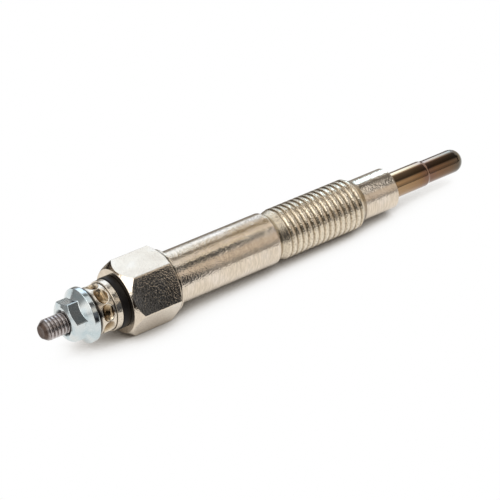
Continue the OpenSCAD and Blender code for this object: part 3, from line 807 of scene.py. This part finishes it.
def make_body(thread, finish, hexagon_finish, thread_finish):
    """Body, bored through: bevelled hexagon, shank, relief groove, M10 x 1.25 thread, cone and nose."""
    angles = round_columns(bunch=CORNER_BUNCH)
    side = hexagon_radius(angles, HEX_FLATS, corner=0.3)
    band = mesh_from(thread, {
        "Crest diameter": 2 * THREAD_R, "Pitch": 1.25, "Depth": 0.36, "Start": RELIEF_END,
        "Start radius": RELIEF_R, "Start slope": 0.355, "Run-in": 1.9, "End": NOSE, "End radius": NOSE_R,
        "End slope": 0.578, "Turns": 18, "Columns": COLUMNS, "Bunch": CORNER_BUNCH, "Phase": 0.16,
        "Finish": thread_finish})
    body = turned_piece("body", [
        (NOSE, NOSE_R, 0), (NOSE_END - NOSE_EDGE, NOSE_R, 0.1), (NOSE_END, NOSE_R - NOSE_EDGE, 0.08),
        (NOSE_END, SHEATH_R, 0.05), (SHEATH_BACK, SHEATH_R, 0), (SHEATH_BACK, BORE_R, 0),
        (COUNTERBORE_END, BORE_R, 0), (COUNTERBORE_END, COUNTERBORE_R, 0), (HEX_BACK, COUNTERBORE_R, 0.05),
        (HEX_BACK, HEX_END_R, 0.1), (HEX_BACK + HEX_BACK_BEVEL * (side - HEX_END_R), side, 0.12),
        (HEX_LAND - HEX_FRONT_BEVEL * (side - HEX_LAND_R), side, 0.1), (HEX_LAND, HEX_LAND_R, 0.06),
        (HEX_FRONT, HEX_LAND_R, 0.2), (HEX_FRONT, SHANK_R, 0.15), (SHANK_END - SHANK_EDGE, SHANK_R, 0.2),
        (SHANK_END, SHANK_R - SHANK_EDGE_DROP, 0.15), (SHANK_END, RELIEF_R, 0.15), (RELIEF_END, RELIEF_R, 0)],
        angles, finish, insert=band)
    body.data.materials.append(hexagon_finish)
    body.data.materials.append(thread_finish)
    for face in body.data.polygons:
        middle = face.center / MM
        radius = math.hypot(middle.y, middle.z)
        if middle.x < HEX_LAND and radius > SHANK_R:
            face.material_index = 1
        elif RELIEF_END < middle.x < NOSE and radius > NOSE_R:
            face.material_index = 2
    return body


def make_rod(thread, finish):
    """Rod: a pointed M4 x 0.7 stud, the plain length inside the body, the neck and the coil's spigot."""
    angles = round_columns()
    band = mesh_from(thread, {
        "Crest diameter": 2 * STUD_R, "Pitch": 0.7, "Depth": 0.28, "Start": STUD_END,
        "Start radius": STUD_POINT_R, "Start slope": 0.725, "Run-in": 0.05, "End": NUT_SINK,
        "End radius": STUD_ROOT_R, "End slope": 2.4, "Turns": 9, "Columns": COLUMNS, "Bunch": 0.0,
        "Phase": 0.59, "Finish": finish})
    # The stud's end is dished, as rolling leaves it
    stud = with_end(band, [(STUD_END + 0.12, 0.0, 0), (STUD_END + 0.08, 0.5, 0.1), (STUD_END, 1.05, 0.1),
                           (STUD_END, STUD_POINT_R, 0)], angles)
    return turned_piece("rod", [
        (NUT_SINK, STUD_ROOT_R, 0), (NUT_SINK, ROD_R, 0), (NECK, ROD_R, 0), (NECK, NECK_R, 0),
        (COIL_SPIGOT, NECK_R, 0), (COIL_SPIGOT, COIL_SPIGOT_R, 0), (ROD_END, COIL_SPIGOT_R, 0),
        (ROD_END, 0.0, 0)], angles, finish, insert=stud)


def make_nut(finish):
    """Flange nut: bevelled hexagon, countersunk top, cone and thin rim."""
    turn = math.radians(-20)
    angles = round_columns(turn, bunch=CORNER_BUNCH)
    side = hexagon_radius(angles, NUT_FLATS, corner=0.2, turn=turn)
    return turned_piece("nut", [
        (NUT_TOP, NUT_MOUTH_R, 0.06), (NUT_TOP, NUT_TOP_R, 0.08),
        (NUT_TOP + NUT_BEVEL * (side - NUT_TOP_R), side, 0.1),
        (FLANGE_TOP + FLANGE_SLOPE * (side - NUT_TOP_R), side, 0.2), (FLANGE_RIM, FLANGE_R, 0.2),
        (COLLAR, FLANGE_R, 0.3), (COLLAR, ROD_R, 0), (NUT_SINK, ROD_R, 0)], angles, finish, closed=True)


def make_collar(sleeve, finish):
    """Collar: a sleeve staked onto the rod, with a foot that presses on the washer."""
    band = mesh_from(sleeve, {
        "Sleeve diameter": 2 * COLLAR_R, "Start": COLLAR_RIM_END, "End": FOOT, "Stakes": 8,
        "Stake width": 2.3, "Stake depth": 1.0, "Punch radius": 2.4, "Stake angle": math.radians(24),
        "Burr": 0.15, "Columns": COLLAR_COLUMNS, "Rows": 66, "Finish": finish})
    return turned_piece("collar", [
        (COLLAR_RIM_END, COLLAR_R, 0), (COLLAR, COLLAR_R, 0.2), (COLLAR, ROD_R, 0), (WASHER, ROD_R, 0),
        (WASHER, FOOT_R, 0.15), (FOOT, FOOT_R, 0.15), (FOOT, COLLAR_R, 0)],
        round_columns(count=COLLAR_COLUMNS), finish, insert=band)


def make_washer(finish):
    """Insulating washer with the spigot that centres it in the body."""
    return turned_piece("washer", [
        (WASHER, WASHER_BORE_R, 0), (WASHER, WASHER_R, 0.2), (HEX_BACK, WASHER_R, 0.2),
        (HEX_BACK, SPIGOT_R, 0), (SPIGOT_END, SPIGOT_R, 0), (SPIGOT_END, WASHER_BORE_R, 0)],
        round_columns(), finish, closed=True)


def make_sheath(finish):
    """Heater sheath: a tube swaged to a thinner tip and welded into a dome."""
    dome = [(TIP_ROUND + TIP_R * math.sin(a), TIP_R * math.cos(a), 0)
            for a in np.linspace(0, math.pi / 2, 16)[1:-1]]
    return turned_piece("sheath", [
        (TIP_BORE_END, 0.0, 0), (TIP_BORE_END, TIP_BORE_R, 0), (TAPER_END, TIP_BORE_R, 0),
        (STEP, SHEATH_BORE_R, 0), (SHEATH_BACK, SHEATH_BORE_R, 0), (SHEATH_BACK, SHEATH_R, 0),
        (STEP, SHEATH_R, 0.8), (TAPER_END, TIP_R, 0.8), (TIP_ROUND, TIP_R, 0), *dome, (TIP, 0.0, 0)],
        round_columns(), finish)


make_camera()
make_floor()
make_tent()
make_light()

thread, sleeve = rolled_thread_tree(), staked_sleeve_tree()
body = make_body(thread, nickel_plated_turned_steel(), nickel_plated_drawn_bar(),
                 nickel_plated_rolled_thread())
for piece, node, slot in (
        (body, "body_shell", "nickel_plated_steel"),
        (make_rod(thread, rolled_bare_steel()), "terminal_rod", "bare_steel"),
        (make_nut(zinc_plated_steel()), "terminal_nut", "zinc_plated_steel"),
        (make_collar(sleeve, nickel_plated_staked_steel()), "staked_collar", "nickel_plated_collar"),
        (make_washer(black_phenolic_moulding()), "insulating_washer", "black_moulding"),
        (make_sheath(heat_tinted_alloy()), "heater_sheath", "heat_tinted_alloy")):
    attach(piece, "root")
    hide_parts(node)

wire = drawn_resistance_wire()
for node, finish in (("heating_coil", wire), ("control_coil", wire), ("magnesia_fill", compacted_magnesia()),
                     ("sheath_seal", moulded_seal_rubber("moulded_silicone_rubber", "#5a2a20", "#6f3a2c")),
                     ("sealing_ring", moulded_seal_rubber("moulded_nitrile_rubber", "#151515", "#232323"))):
    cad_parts[node].data.materials.clear()
    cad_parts[node].data.materials.append(finish)

bpy.context.scene.view_settings.view_transform = "Standard"
